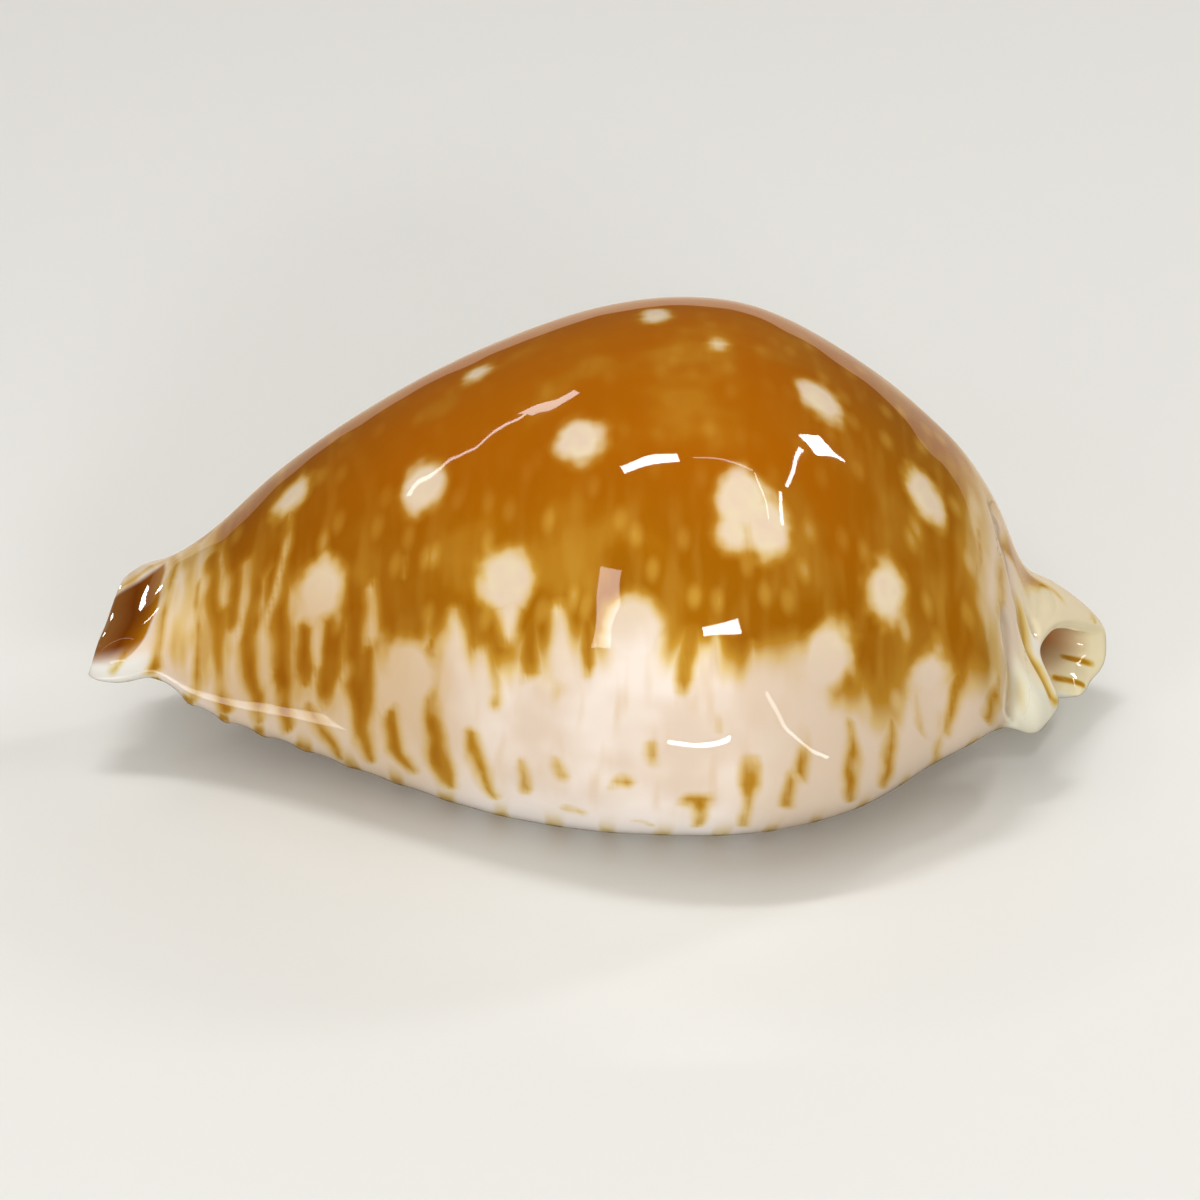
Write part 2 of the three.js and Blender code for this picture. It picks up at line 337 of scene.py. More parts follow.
points[:, 2] = np.maximum(points[:, 2], 0)
dense.vertices.foreach_set("co", (points * MM).ravel())
dense.update()
print("shell:", len(dense.polygons), "faces, box", points.min(0).round(2), points.max(0).round(2))

# %% [markdown]
# ## A map of the surface
# The pattern is laid out on a map of the shell: millimetres along it, and millimetres round it from the crest.
# A cowrie's own drips and stripes run round the shell, so on this map they are nearly straight. The map could be
# a UV layer, but the pattern has no image to place, and plain numbers on the points are easier to read.

# %% Measure round the shell
MAP_STATIONS = 63
MAP_STEPS = 201


def round_lengths():
    """The length over the outside from the crest to each way round, in mm, for a row of stations."""
    stations = np.linspace(-0.5, 0.5, MAP_STATIONS) * LENGTH
    steps = np.linspace(0, 1, MAP_STEPS)
    y, z = section(stations[:, None] + 0 * steps, steps + 0 * stations[:, None], False)
    lengths = np.hypot(np.diff(y, axis=1), np.diff(z, axis=1))
    total = np.concatenate([np.zeros((len(stations), 1)), np.cumsum(lengths, axis=1)], 1)
    crest = MAP_STEPS // 2
    return stations, steps, total - total[:, crest:crest + 1]


STATION_X, STEP_WAY, ROUND = round_lengths()


def girth_at(x, way):
    """The signed length over the outside from the crest to a way round, in mm."""
    # The place on the map stays just short of the last row and column, so that both have a next one.
    column = np.clip((x - STATION_X[0]) / (STATION_X[1] - STATION_X[0]), 0, len(STATION_X) - 1.001)
    line = np.clip(way / (STEP_WAY[1] - STEP_WAY[0]), 0, len(STEP_WAY) - 1.001)
    i, j = np.asarray(column, int), np.asarray(line, int)
    a, b = column - i, line - j
    left = ROUND[i, j] * (1 - b) + ROUND[i, j + 1] * b
    right = ROUND[i + 1, j] * (1 - b) + ROUND[i + 1, j + 1] * b
    return left * (1 - a) + right * a


def store(name, values):
    """Keeps one number per point of the shell under a name that the material can read."""
    attribute = dense.attributes.new(name, "FLOAT", "POINT")
    attribute.data.foreach_set("value", np.asarray(values, np.float32))
    print(name, "from", round(float(values.min()), 2), "to", round(float(values.max()), 2))


girth = girth_at(x, way)
folded = np.maximum(way, 1 - way)
# The mantle never lays a straight line, so the map is shaken a little before anything is measured on it.
# Each wave: its height in mm, and how fast it turns along the shell and round it, in radians per mm.
SHAKE_ALONG = [(0.1, 0.31, 0.8), (0.05, -0.7, 2.1)]
SHAKE_ROUND = [(0.22, 1.3, 0), (0.14, 3.1, 0.4)]
shaken_x = x + sum(size * np.sin(a * x + b * girth) for size, a, b in SHAKE_ALONG)
shaken_girth = girth + sum(size * np.sin(a * x + b * girth) for size, a, b in SHAKE_ROUND)
print("half girth at the middle", round(float(girth_at(np.array(0.0), np.array(1.0))), 1), "mm")

# %% [markdown]
# ## The brown back and its drips
# The mantle lays the brown on from the back downwards. Its lower edge on the flank isn't even: at both ends it
# runs out in long stripes that stand as far apart as the ribs of the base, and in the middle in short drips.
# Each stripe or drip is a stroke: a few places [mm along, way round, half width in mm] joined up. The points of
# the shell keep how far inside the nearest stroke they lie. The material cuts at 0 and adds noise, which gives
# soft, uneven edges at any zoom. The photo shows the near side only, so the far side gets the same strokes,
# each moved along a little. The strokes of the two ends are single and are not repeated.

# %% Places of the strokes
# The brown's lower edge as [share of the length, way], and where it starts and ends in mm along.
FLANK_EDGE = [
    [-0.42, 0.56], [-0.39, 0.6], [-0.33, 0.635], [-0.29, 0.67], [-0.24, 0.695], [-0.2, 0.702], [-0.15, 0.701],
    [-0.08, 0.7], [-0.04, 0.698], [0, 0.692], [0.04, 0.692], [0.07, 0.694], [0.1, 0.697], [0.14, 0.696],
    [0.18, 0.697], [0.22, 0.71], [0.26, 0.723], [0.3, 0.718], [0.33, 0.71], [0.4, 0.7],
]
BACK_START = -24.2
BACK_END = 22.8
STRIPES = [
    [(-26.0, 0.47, 0.2), (-26.1, 0.56, 0.15), (-26.3, 0.64, 0.1), (-26.7, 0.72, 0.1), (-26.9, 0.765, 0.4)],
    [(-24.2, 0.58, 0.1), (-24.25, 0.7, 0.15), (-24.6, 0.81, 0.18)],
    [(-23.2, 0.55, 0.7), (-23.05, 0.65, 0.6), (-22.9, 0.74, 0.15), (-22.7, 0.81, 0.35)],
    [(-22.0, 0.55, 0.85), (-22.0, 0.66, 0.75)],
    [(-21.0, 0.6, 0.85), (-20.9, 0.7, 0.75), (-20.8, 0.736, 0.45), (-20.6, 0.8, 0.18)],
    [(-19.3, 0.62, 0.9), (-19.3, 0.71, 0.8), (-19.1, 0.746, 0.45), (-18.7, 0.8, 0.2)],
    [(-17.7, 0.683, 0.5), (-17.7, 0.72, 0.6), (-17.6, 0.735, 0.3)],
    [(-17.4, 0.755, 0.15), (-16.5, 0.79, 0.25), (-15.6, 0.82, 0.1)],
    [(-15.9, 0.66, 0.95), (-16.1, 0.72, 0.8), (-16.3, 0.742, 0.3)],
    [(-14.3, 0.66, 1.0), (-14.25, 0.72, 0.85), (-14.4, 0.768, 0.4), (-13.6, 0.8, 0.15)],
    [(-12.4, 0.742, 0.4), (-12.2, 0.77, 0.45), (-11.3, 0.795, 0)],
    [(-10.3, 0.69, 0.4), (-10.0, 0.739, 0.4), (-9.85, 0.768, 0.5), (-8.9, 0.8, 0.2)],
    [(-7.9, 0.742, 0.25), (-7.5, 0.757, 0.35), (-6.4, 0.79, 0.1)], [(-4.8, 0.753, 0), (-4.5, 0.775, 0.1)],
    [(-2.7, 0.75, 0.1), (-2.5, 0.757, 0.1)], [(-2.4, 0.787, 0), (-1.2, 0.79, 0)],
    [(0.7, 0.76, 0.25), (1.2, 0.758, 0.25)], [(2.5, 0.735, 0.1), (2.7, 0.743, 0.15)],
    [(1.8, 0.798, -0.05), (2.7, 0.8, -0.05)], [(5.1, 0.77, 0.45), (5.6, 0.771, 0.45), (5.35, 0.8, 0.1)],
    [(6.4, 0.718, -0.2), (6.5, 0.727, -0.15)],
    [(8.45, 0.742, 0.35), (8.45, 0.755, 0.45), (8.3, 0.768, 0.05), (7.9, 0.8, 0.1)],
    [(11.3, 0.729, 0.15), (11.4, 0.756, 0.2)], [(10.8, 0.757, 0.1), (10.5, 0.782, 0.2)],
    [(14.1, 0.725, 0.1), (14.3, 0.76, 0.35), (14.4, 0.795, 0.1)],
    [(16.6, 0.73, 0.05), (16.5, 0.765, 0.25), (16.4, 0.8, 0.1)], [(18.3, 0.722, 0), (18.35, 0.745, 0.05)],
    [(19.5, 0.74, -0.1), (19.45, 0.83, 0.05)], [(20.9, 0.65, 0.5), (20.7, 0.715, 0.35), (20.0, 0.77, 0.05)],
    [(22.0, 0.56, 0.1), (21.9, 0.65, 0)], [(23.2, 0.7, -0.1), (23.0, 0.735, 0.15), (22.6, 0.775, 0.1)],
    [(15.2, 0.69, 0.4), (15.0, 0.712, 0.1)], [(17.4, 0.69, 0.4), (17.3, 0.715, 0.1)],
    [(5.0, 0.665, 0.9), (4.6, 0.7, 0.4)], [(-4.2, 0.665, 0.8), (-4.2, 0.7, 0.5)],
    [(-6.5, 0.68, 0.5), (-6.3, 0.72, 0.15)], [(-1.0, 0.665, 0.6), (-1.0, 0.695, 0.3)],
]
END_STRIPES = [
    [(-25.0, 0.5, -0.15), (-25.0, 0.6, -0.3)], [(23.7, 0.66, -0.15), (23.85, 0.71, 0), (24.1, 0.766, -0.1)],
    [(-28.4, 0.675, 0.05), (-29.2, 0.715, 0.1)], [(-29.9, 0.425, 0), (-26.8, 0.425, 0.1)],
    [(23.4, 0.555, -0.05), (23.4, 0.6, 0.15), (23.3, 0.645, -0.1)],
    [(23.9, 0.53, 0.2), (24.6, 0.522, 0.6), (25.3, 0.482, 0.75), (26.0, 0.46, 0.6), (26.8, 0.46, 0.3),
     (27.8, 0.458, 0.1)],
    [(24.7, 0.585, 0), (24.9, 0.606, 0.12), (25.1, 0.639, 0.16), (26.0, 0.67, 0.2), (27.05, 0.721, 0.14)],
    [(30.0, 0.44, -0.1), (30.3, 0.38, 0.1)],
]
# Pale drips cut into the brown from below, and join the spots to the white.
PALE_DRIPS = [
    [(-18.5, 0.56, 0.05), (-18.7, 0.59, 0.05), (-19.1, 0.625, 0.25), (-20.1, 0.68, 0.25), (-20.0, 0.73, 0.4)],
    [(-21.3, 0.59, 0.05), (-21.4, 0.635, 0.1), (-21.7, 0.68, 0.3)], [(-22.8, 0.53, -0.1), (-22.6, 0.64, 0.1)],
    [(-16.9, 0.66, 0.4), (-16.9, 0.71, 0.15)], [(-13.7, 0.655, 0.1), (-13.4, 0.69, 0.35)],
    [(-11.6, 0.63, -0.1), (-11.6, 0.645, -0.1)], [(-8.7, 0.67, 0.25), (-8.7, 0.71, 0.8)],
    [(-7.05, 0.69, 0.2), (-7.0, 0.715, 0.7)], [(-5.5, 0.66, 0.8), (-5.4, 0.68, 0.3)],
    [(-2.6, 0.665, 0.3), (-2.4, 0.7, 0.9)], [(-11.3, 0.71, 1.2), (-11.2, 0.76, 0.4)],
    [(1.7, 0.68, 1.5), (1.9, 0.71, 1.5)], [(12.1, 0.7, 0.7), (10.7, 0.73, 1.0)], [(8.6, 0.68, 0), (8.3, 0.72, 0.5)],
    [(19.0, 0.71, 0.9), (19.0, 0.75, 0.6)], [(6.4, 0.678, 0), (6.3, 0.71, 0.3)],
]
# Each spot: mm along from the middle, way round, half length and half girth in mm, slant in degrees.
SPOTS = [
    (3.0, 0.476, 1.1, 1.3, 0), (6.6, 0.507, 0.6, 0.6, 0), (-7.6, 0.493, 0.9, 1.1, 20), (-18.5, 0.539, 0.95, 1.35, 35),
    (-10.5, 0.584, 1.35, 1.75, 10), (-1.4, 0.573, 1.5, 1.75, 0), (12.5, 0.53, 1.3, 1.75, -25),
    (7.9, 0.608, 1.75, 2.0, 0), (9.2, 0.622, 1.4, 1.9, 0), (7.4, 0.625, 1.2, 1.3, 0),
    (18.7, 0.567, 1.15, 1.8, -20), (16.2, 0.647, 1.2, 1.85, 0),
    (-5.7, 0.65, 1.6, 1.8, 0), (-16.7, 0.651, 1.4, 1.9, 15), (1.6, 0.676, 1.7, 2.2, 0), (12.6, 0.688, 1.5, 2.2, 25),
    (18.9, 0.708, 1.1, 1.5, 0), (-11.3, 0.71, 1.7, 1.9, 0),
    (-20, 0.4, 1.1, 1.6, -15), (-13, 0.345, 1.5, 1.9, 0), (-9, 0.43, 1.0, 1.3, 0), (-4, 0.335, 1.8, 2.1, 0),
    (1.5, 0.4, 1.5, 1.8, 0), (6, 0.31, 2.0, 2.4, 0), (10.5, 0.425, 1.1, 1.4, 0), (13.5, 0.355, 1.8, 2.4, 0),
    (18.5, 0.415, 1.2, 1.9, 20), (20, 0.32, 1.2, 1.7, 0), (-17, 0.3, 1.4, 1.5, 0), (0, 0.275, 1.8, 1.6, 0),
    (-23, 0.345, 0.8, 1.1, 0),
]
print(len(STRIPES), "stripes,", len(PALE_DRIPS), "pale drips and", len(SPOTS), "spots")


# %% Distances to the strokes and the spots
FAR_OUTSIDE = -9.0
FAR_SIDE_SHIFT = 0.7
FAR_SIDE_DRIPS = {"height": 0.7, "sway": 0.8, "sway_per_mm": 0.9}
BACK_LIMITS = (-6, 30)


def inside_strokes(strokes):
    """How far inside the nearest stroke every point lies, in mm on the map, less than 0 outside."""
    nearest = np.full(len(x), FAR_OUTSIDE)
    for stroke in strokes:
        knots = np.array(stroke, float)
        places = np.column_stack([knots[:, 0], girth_at(knots[:, 0], knots[:, 1])])
        for a, b, wide_a, wide_b in zip(places, places[1:], knots[:, 2], knots[1:, 2]):
            line = b - a
            t = ((shaken_x - a[0]) * line[0] + (shaken_girth - a[1]) * line[1]) / (line @ line)
            t = np.clip(t, 0, 1)
            off = np.hypot(shaken_x - a[0] - t * line[0], shaken_girth - a[1] - t * line[1])
            nearest = np.maximum(nearest, wide_a + t * (wide_b - wide_a) - off)
    return nearest


def other_side(strokes):
    """The same strokes on the far side, each moved along a little differently."""
    turned = []
    for number, stroke in enumerate(strokes):
        move = FAR_SIDE_SHIFT * math.sin(2.4 * number)
        turned.append([(a + move, 1 - w, half) for a, w, half in stroke])
    return turned


def inside_spots():
    """How far inside the nearest spot every point lies, in mm on the map."""
    nearest = np.full(len(x), FAR_OUTSIDE)
    for along_mm, spot_way, half_long, half_girth, slant in SPOTS:
        lean = math.radians(slant)
        a = x - along_mm
        b = girth - girth_at(x, spot_way + 0 * x)
        u = (a * math.cos(lean) + b * math.sin(lean)) / half_long
        v = (b * math.cos(lean) - a * math.sin(lean)) / half_girth
        nearest = np.maximum(nearest, (1 - np.hypot(u, v)) * math.sqrt(half_long * half_girth))
    return nearest


flank = girth_at(x, follow(FLANK_EDGE, x / LENGTH)) - np.abs(girth)
far_drips = FAR_SIDE_DRIPS["height"] * np.cos(2 * math.pi * rib)
far_drips += FAR_SIDE_DRIPS["sway"] * np.cos(FAR_SIDE_DRIPS["sway_per_mm"] * x)
flank += np.where(far_side, far_drips, 0)
ends = np.minimum(shaken_x - BACK_START, BACK_END - shaken_x)
stripes = inside_strokes(STRIPES + other_side(STRIPES) + END_STRIPES)
store("back", np.clip(np.minimum(flank, ends), *BACK_LIMITS))
store("stripe", np.where(hollow > 0.5, FAR_OUTSIDE, stripes))
store("pale", inside_strokes(PALE_DRIPS + other_side(PALE_DRIPS)))
store("spot", inside_spots())
store("girth", girth)
store("rib", rib)
store("folded", folded)
store("turn", way)

# %% [markdown]
# ## The two ends
# The glaze is thicker and paler round the posterior canal, and folds over in fine creases where it meets the
# back. Inside the canal two short brown teeth stand on the lip. At the other end the anterior canal has a dark
# brown saddle between two pale lips. These are one of a kind, so each gets its own distance.

# %% Measure the ends
# Lines as [way round, mm along].
SADDLE_EDGE = [[0.3, -26.2], [0.5, -26.7], [0.61, -26.95], [0.66, -27.5], [0.7, -28.6], [0.74, -30.5]]
SADDLE_LIMITS = (-3, 6)
CREASE_NONE = 5.0
CREASE_FADE = 30
CREASES = [
    [[0.48, 23.3], [0.507, 23.3], [0.54, 23.38]],
    [[0.5, 23.6], [0.526, 23.75], [0.547, 24.12], [0.581, 24.25], [0.6, 24.6], [0.64, 24.95]],
    [[0.35, 23.7], [0.4, 23.4], [0.46, 23.6]],
]
# Each tooth: its first and its last place and its half width, in mm.
CANAL_TEETH = [((28.2, 2.4, 4.4), (30.1, 2.5, 3.9), 0.22), ((27.6, 0.6, 4.0), (29.5, 0.65, 3.45), 0.2)]

rim = np.minimum(along, 1 - along) * (end - start)
crease = np.full(len(x), CREASE_NONE)
for line in CREASES:
    offset = x - follow(line, way)
    gone = np.maximum(line[0][0] - way, way - line[-1][0])
    offset = np.where(gone > 0, np.sign(offset) * (np.abs(offset) + CREASE_FADE * gone), offset)
    crease = np.where(np.abs(offset) < np.abs(crease), offset, crease)
teeth = np.full(len(x), FAR_OUTSIDE)
for first, last, half_wide in CANAL_TEETH:
    first, line = np.array(first), np.array(last) - np.array(first)
    t = np.clip((points - first) @ line / (line @ line), 0, 1)
    teeth = np.maximum(teeth, half_wide - np.linalg.norm(points - first - t[:, None] * line, axis=1))
store("rim", rim)
store("crease", crease)
store("teeth", teeth)
saddle = np.minimum(follow(SADDLE_EDGE, way) - shaken_x, SADDLE_LIMITS[1])
store("saddle", np.where(hollow > 0.5, SADDLE_LIMITS[0], saddle))

# %% [markdown]
# The folds aren't only painted. The glaze sinks in along each crease and along the line round the canal, and
# swells to a knob beside it. So the points themselves are moved a few tenths of a millimetre, and the light does
# the rest.

# %% Fold the glaze
FOLDS = [
    # the line as [mm along, way round], how deep it is and how wide to each side, in mm
    ([(23.3, 0.48), (23.6, 0.51), (23.95, 0.535), (24.2, 0.565), (24.5, 0.6)], 0.25, 0.35),
    ([(24.3, 0.58), (24.7, 0.6), (25.0, 0.635), (25.95, 0.67), (26.8, 0.71)], 0.3, 0.3),
    ([(23.9, 0.64), (24.05, 0.68), (24.2, 0.72), (24.1, 0.78)], 0.4, 0.4),
    ([(25.6, 0.575), (25.85, 0.59)], 0.5, 0.3),
    ([(22.6, 0.6), (22.75, 0.66), (22.6, 0.74)], 0.12, 0.4),
]
KNOB = {"x": 25.3, "way": 0.725, "half_long": 1.1, "half_girth": 1.7, "height": 0.6}
FOLD_FADE = 0.6

sunk = np.zeros(len(x))
for line, depth, half_width in FOLDS:
    sunk = np.maximum(sunk, depth * np.exp(-(inside_strokes([[(*place, 0) for place in line]]) / half_width) ** 2))
knob_along = (x - KNOB["x"]) / KNOB["half_long"]
knob_round = (girth - girth_at(x, KNOB["way"] + 0 * x)) / KNOB["half_girth"]
swell = KNOB["height"] * np.exp(-knob_along ** 2 - knob_round ** 2)
outer_share = smooth(rim, 0, FOLD_FADE) * (hollow < 0.5)
moved = (swell - sunk) * outer_share
store("sunk", sunk * outer_share)
points += normals * moved[:, None]
points[:, 2] = np.maximum(points[:, 2], 0)
dense.vertices.foreach_set("co", (points * MM).ravel())
dense.update()
print("folds from", round(float(moved.min()), 2), "to", round(float(moved.max()), 2), "mm")

# %% [markdown]
# ## The enamel
# Real cowrie enamel is aragonite, laid down in thin clear layers over colour. Its pigment works as a stain: a thin
# layer takes only the blue out of the white and looks straw yellow, a thicker one takes the green too and looks
# brown. So the pattern isn't mixed from two paints. The depth of the stain is found first, a colour ramp says what
# that depth lets through, and the pale ground is multiplied by it. That gives the yellowish fringe round each
# drip, as on the real shell. On top lies a coat as smooth as glass, over a very slightly wavy surface.

# %% Helpers for materials
def linear(hex_code):
    """An sRGB hex colour as the linear RGBA that nodes use."""
    parts = [int(hex_code[i:i + 2], 16) / 255 for i in (1, 3, 5)]
    return (*[p / 12.92 if p <= 0.04045 else ((p + 0.055) / 1.055) ** 2.4 for p in parts], 1)


def add_node(tree, kind, sockets=(), out=0, **settings):
    """Adds a node with its settings, fills its sockets with values or links, and gives one of its outputs."""
    node = tree.nodes.new("ShaderNode" + kind)
    for name, value in settings.items():
        if name == "stops":
            ramp = node.color_ramp.elements
            for at, (position, shade) in zip((ramp[0], ramp[1]), (value[0], value[-1])):
                at.position, at.color = position, shade
            for position, shade in value[1:-1]:
                ramp.new(position).color = shade
        else:
            setattr(node, name, value)
    for key, value in (sockets.items() if isinstance(sockets, dict) else enumerate(sockets)):
        if isinstance(value, bpy.types.NodeSocket):
            tree.links.new(value, node.inputs[key])
        else:
            node.inputs[key].default_value = value
    return node.outputs[out] if node.outputs else node


def new_material(name):
    """An empty node material and its tree."""
    material = bpy.data.materials.new(name)
    material.use_nodes = True
    material.node_tree.nodes.clear()
    return material, material.node_tree


GROUND = "#ddc9b6"
print("pale ground is", [round(part, 3) for part in linear(GROUND)])

# %% Enamel: where things are
enamel, tree = new_material("cowrie_enamel_glazed")
add = partial(add_node, tree)
SOFT = {"interpolation_type": "SMOOTHSTEP"}
RGBA = {"out": 2, "data_type": "RGBA"}
mark = {name: add("Attribute", attribute_name=name, out=2) for name in
        "back stripe pale spot girth rib folded rim crease teeth saddle hollow turn sunk".split()}
object_place = add("TexCoord", out=3)
in_mm = add("VectorMath", {0: object_place, "Scale": 1 / MM}, operation="SCALE")
x_mm = add("SeparateXYZ", {0: in_mm})
from_middle = add("Math", (x_mm,), operation="ABSOLUTE")
print("enamel reads", len(mark), "marks")

# %% [markdown]
# ### Noises
# Everything on the shell was laid down by the soft edge of the mantle as it crept round the shell. So the noises
# that shake the pattern are stretched four times round the girth. Tongues are about two millimetres wide, drips
# about one. Grain and clouds have no direction.

# %% Enamel: noises
round_slow = add("Math", (mark["girth"], 0.25), operation="MULTIPLY")
drip_place = add("CombineXYZ", {0: x_mm, 1: round_slow})
# Each noise: where it is measured, and how many lumps it has per mm.
NOISES = {"drips": (drip_place, 0.9), "tongues": (drip_place, 0.42), "grain": (in_mm, 0.8)}
noise = {}
for name, (where, per_mm) in NOISES.items():
    raw = add("TexNoise", {"Vector": where, "Scale": per_mm, "Detail": 1, "Roughness": 0.5})
    noise[name] = add("Math", (raw, 0.5), operation="SUBTRACT")
clouds = add("TexNoise", {"Vector": in_mm, "Scale": 0.2, "Detail": 2, "Roughness": 0.5})
print("noises:", ", ".join(noise), "and clouds")

# %% [markdown]
# ### Depth of the stain
# A mark says how many millimetres inside the back, a stripe or a spot a point lies. Some noise is added to it,
# and a soft step between an outer and an inner distance turns it to a share. The step is wide for the back,
# which fades over some four millimetres, and about one millimetre for the stripes and the spots.

# %% Enamel: soft steps
EDGES = {
    # what: mark, its noises in mm, where the step starts and ends in mm, its highest value
    "back": ("back", {"tongues": 6.0, "drips": 2.4}, -1.5, 2.6, 1.0),
    "stripe": ("stripe", {"drips": 0.5, "grain": 0.2}, -0.6, 0.5, 0.95),
    "teeth": ("teeth", {}, -0.15, 0.15, 0.85),
    "spot": ("spot", {"grain": 0.8, "drips": 0.4}, -0.65, 0.7, 1.0),
    "pale": ("pale", {"drips": 0.5}, -0.6, 0.5, 0.9),
}


def soft_share(*ranges):
    """Multiplies soft steps, each told by its value, its start, where it is full, its least and its most."""
    share = 1.0
    for value, begin, full, least, most in ranges:
        part = add("MapRange", {0: value, 1: begin, 2: full, 3: least, 4: most}, **SOFT)
        share = add("Math", (share, part), operation="MULTIPLY")
    return share


step = {}
for name, (mark_name, shakes, begin, full, most) in EDGES.items():
    distance = mark[mark_name]
    for noise_name, size in shakes.items():
        distance = add("Math", (noise[noise_name], size, distance), operation="MULTIPLY_ADD")
    step[name] = add("MapRange", {0: distance, 1: begin, 2: full, 4: most}, **SOFT)
print("soft steps:", ", ".join(step))

# %% Enamel: brown crests of the ribs on the base
# From which to which way round the ribs turn brown, how far the brown sways off them, the step of a rib's wave
# as its start, where it is full, its least and its most, and how near to the rims the brown stops.
RIBS_BROWN = (0.785, 0.85)
RIB_SWAY = 0.5
RIB_CREST = (0.2, 1, 0, 0.75)
RIB_END_MM = (1.5, 4)
rib_sway = add("Math", (clouds, RIB_SWAY, mark["rib"]), operation="MULTIPLY_ADD")
rib_sway = add("Math", (rib_sway, RIB_SWAY / 2), operation="SUBTRACT")
rib_turn = add("Math", (rib_sway, 2 * math.pi), operation="MULTIPLY")
rib_wave = add("Math", (rib_turn,), operation="COSINE")
rib_wave = add("Math", (noise["drips"], 1.0, rib_wave), operation="MULTIPLY_ADD")
rib_depth = soft_share((rib_wave, *RIB_CREST), (mark["folded"], *RIBS_BROWN, 0, 1))
off_ends = add("MapRange", {0: mark["rim"], 1: RIB_END_MM[0], 2: RIB_END_MM[1]})
rib_depth = add("Math", (rib_depth, off_ends), operation="MULTIPLY")
print("ribs are brown from", RIBS_BROWN[0], "of the way round")

# %% [markdown]
# Spots and pale drips are places that the stain left out. Besides them, small faint specks lie all over the
# flank, and thin streaks, which a Voronoi pattern and the drips make, and wide golden clouds over the whole
# back. They only thin the stain a little. In front of the back a thin wash of it lies between the stripes.

# %% Enamel: the whole stain
# There is a speck every two millimetres along the shell, and each is nearly twice as long round it.
SPECKS = {"per_mm": 0.5, "squeeze": 0.55, "edge": 0.3, "core": 0.04, "most": 0.28}
STREAKS = {"start": -0.08, "full": 0.28, "most": 0.2}
GOLDEN = {"start": 0.48, "full": 0.7, "most": 0.12}
FRONT_WASH = [
    # value, where it starts, where it is full, least share, most share
    (noise["drips"], -0.25, 0.18, 0, 0.55), (x_mm, -11, -19, 0, 1), (mark["folded"], 0.79, 0.71, 0, 1),
    (x_mm, -27.2, -26, 0, 1),
]
off_hollow = add("MapRange", {0: mark["hollow"], 1: 0.5, 2: 0.0})
front_wash = soft_share(*FRONT_WASH)
depth = step["back"]
for other in (step["stripe"], front_wash, rib_depth):
    depth = add("Math", (depth, other), operation="MAXIMUM")
depth = add("Math", (depth, off_hollow), operation="MULTIPLY")
depth = add("Math", (depth, step["teeth"]), operation="MAXIMUM")
clear = add("Math", (step["spot"], step["pale"]), operation="MAXIMUM")
stained = add("Math", (1.0, clear), operation="SUBTRACT")
speck_round = add("Math", (mark["girth"], SPECKS["squeeze"]), operation="MULTIPLY")
speck_place = add("CombineXYZ", {0: x_mm, 1: speck_round})
speck = add("TexVoronoi", {"Vector": speck_place, "Scale": SPECKS["per_mm"]}, voronoi_dimensions="2D")
speck = add("MapRange", {0: speck, 1: SPECKS["edge"], 2: SPECKS["core"], 4: SPECKS["most"]}, **SOFT)
streak = add("MapRange", {0: noise["drips"], 1: STREAKS["start"], 2: STREAKS["full"], 4: STREAKS["most"]}, **SOFT)
low_flank = add("MapRange", {0: mark["back"], 1: 24, 2: 6})
thinned = add("Math", (speck, streak), operation="ADD")
golden = add("MapRange", {0: clouds, 1: GOLDEN["start"], 2: GOLDEN["full"], 4: GOLDEN["most"]}, **SOFT)
thinned = add("Math", (thinned, low_flank, golden), operation="MULTIPLY_ADD")
thinned = add("Math", (1.0, thinned), operation="SUBTRACT")
for share in (stained, thinned):
    depth = add("Math", (depth, share), operation="MULTIPLY")
print("depth of the stain: from 0, pale, to 1, brown")

# %% [markdown]
# ### Colours
# The pale ground isn't one white: it is rosy in clouds, whiter on the base, tan towards both ends, and greenish
# cream on the lobe and the knob round the posterior canal. Each tint sets in over a range of a place or a noise.

# %% Enamel: the ground
TINTS = {
    # what: colour, and each range as value, where it starts, where it is full, least share, most share
    "white clouds": ("#ecdfd4", [(clouds, 0.35, 0.65, 0, 1)]),
    "tan streaks": ("#d9bf9f", [(noise["drips"], 0.0, 0.3, 0, 0.7)]),
    "white base": ("#f0e8e4", [(mark["folded"], 0.75, 0.82, 0, 1)]),
    "tan ends": ("#cdae82", [
        (from_middle, 6, 13, 0, 0.75), (mark["folded"], 0.78, 0.74, 0.8, 1), (x_mm, -26, -22, 0.4, 1)]),
    "rosy rear": ("#d4c2b0", [(x_mm, 6, 12, 0, 0.75), (mark["turn"], 0.48, 0.52, 0, 1)]),
    "callus": ("#d7c5b0", [(x_mm, 21.8, 23.4, 0, 0.8)]),
    "lobe": ("#e3d5b4", [(x_mm, 24.2, 25.2, 0, 1)]),
    "knob": ("#e4e0cd", [(mark["folded"], 0.67, 0.71, 0, 1), (x_mm, 23.7, 24.3, 0, 1)]),
    "canal edge": ("#ebe6da", [
        (mark["rim"], 1.0, 0.5, 0, 1), (x_mm, 25, 25.6, 0, 1), (mark["turn"], 0.585, 0.605, 0, 1),
        (mark["turn"], 0.75, 0.72, 0, 1)]),
    "lower lip": ("#e2dfd8", [(mark["folded"], 0.68, 0.72, 0, 1), (x_mm, -26.5, -28, 0, 1)]),
}
SPOT_CREAMS = ("#dccbac", "#d9c2ab")
HOLLOW_TONE_AND_SHADE = ("#e4d8b4", "#bf874e")
ground = linear(GROUND)
for shade, ranges in TINTS.values():
    ground = add("Mix", {0: soft_share(*ranges), 6: ground, 7: linear(shade)}, **RGBA)
straw = add("MapRange", {0: noise["grain"], 1: -0.15, 2: 0.2})
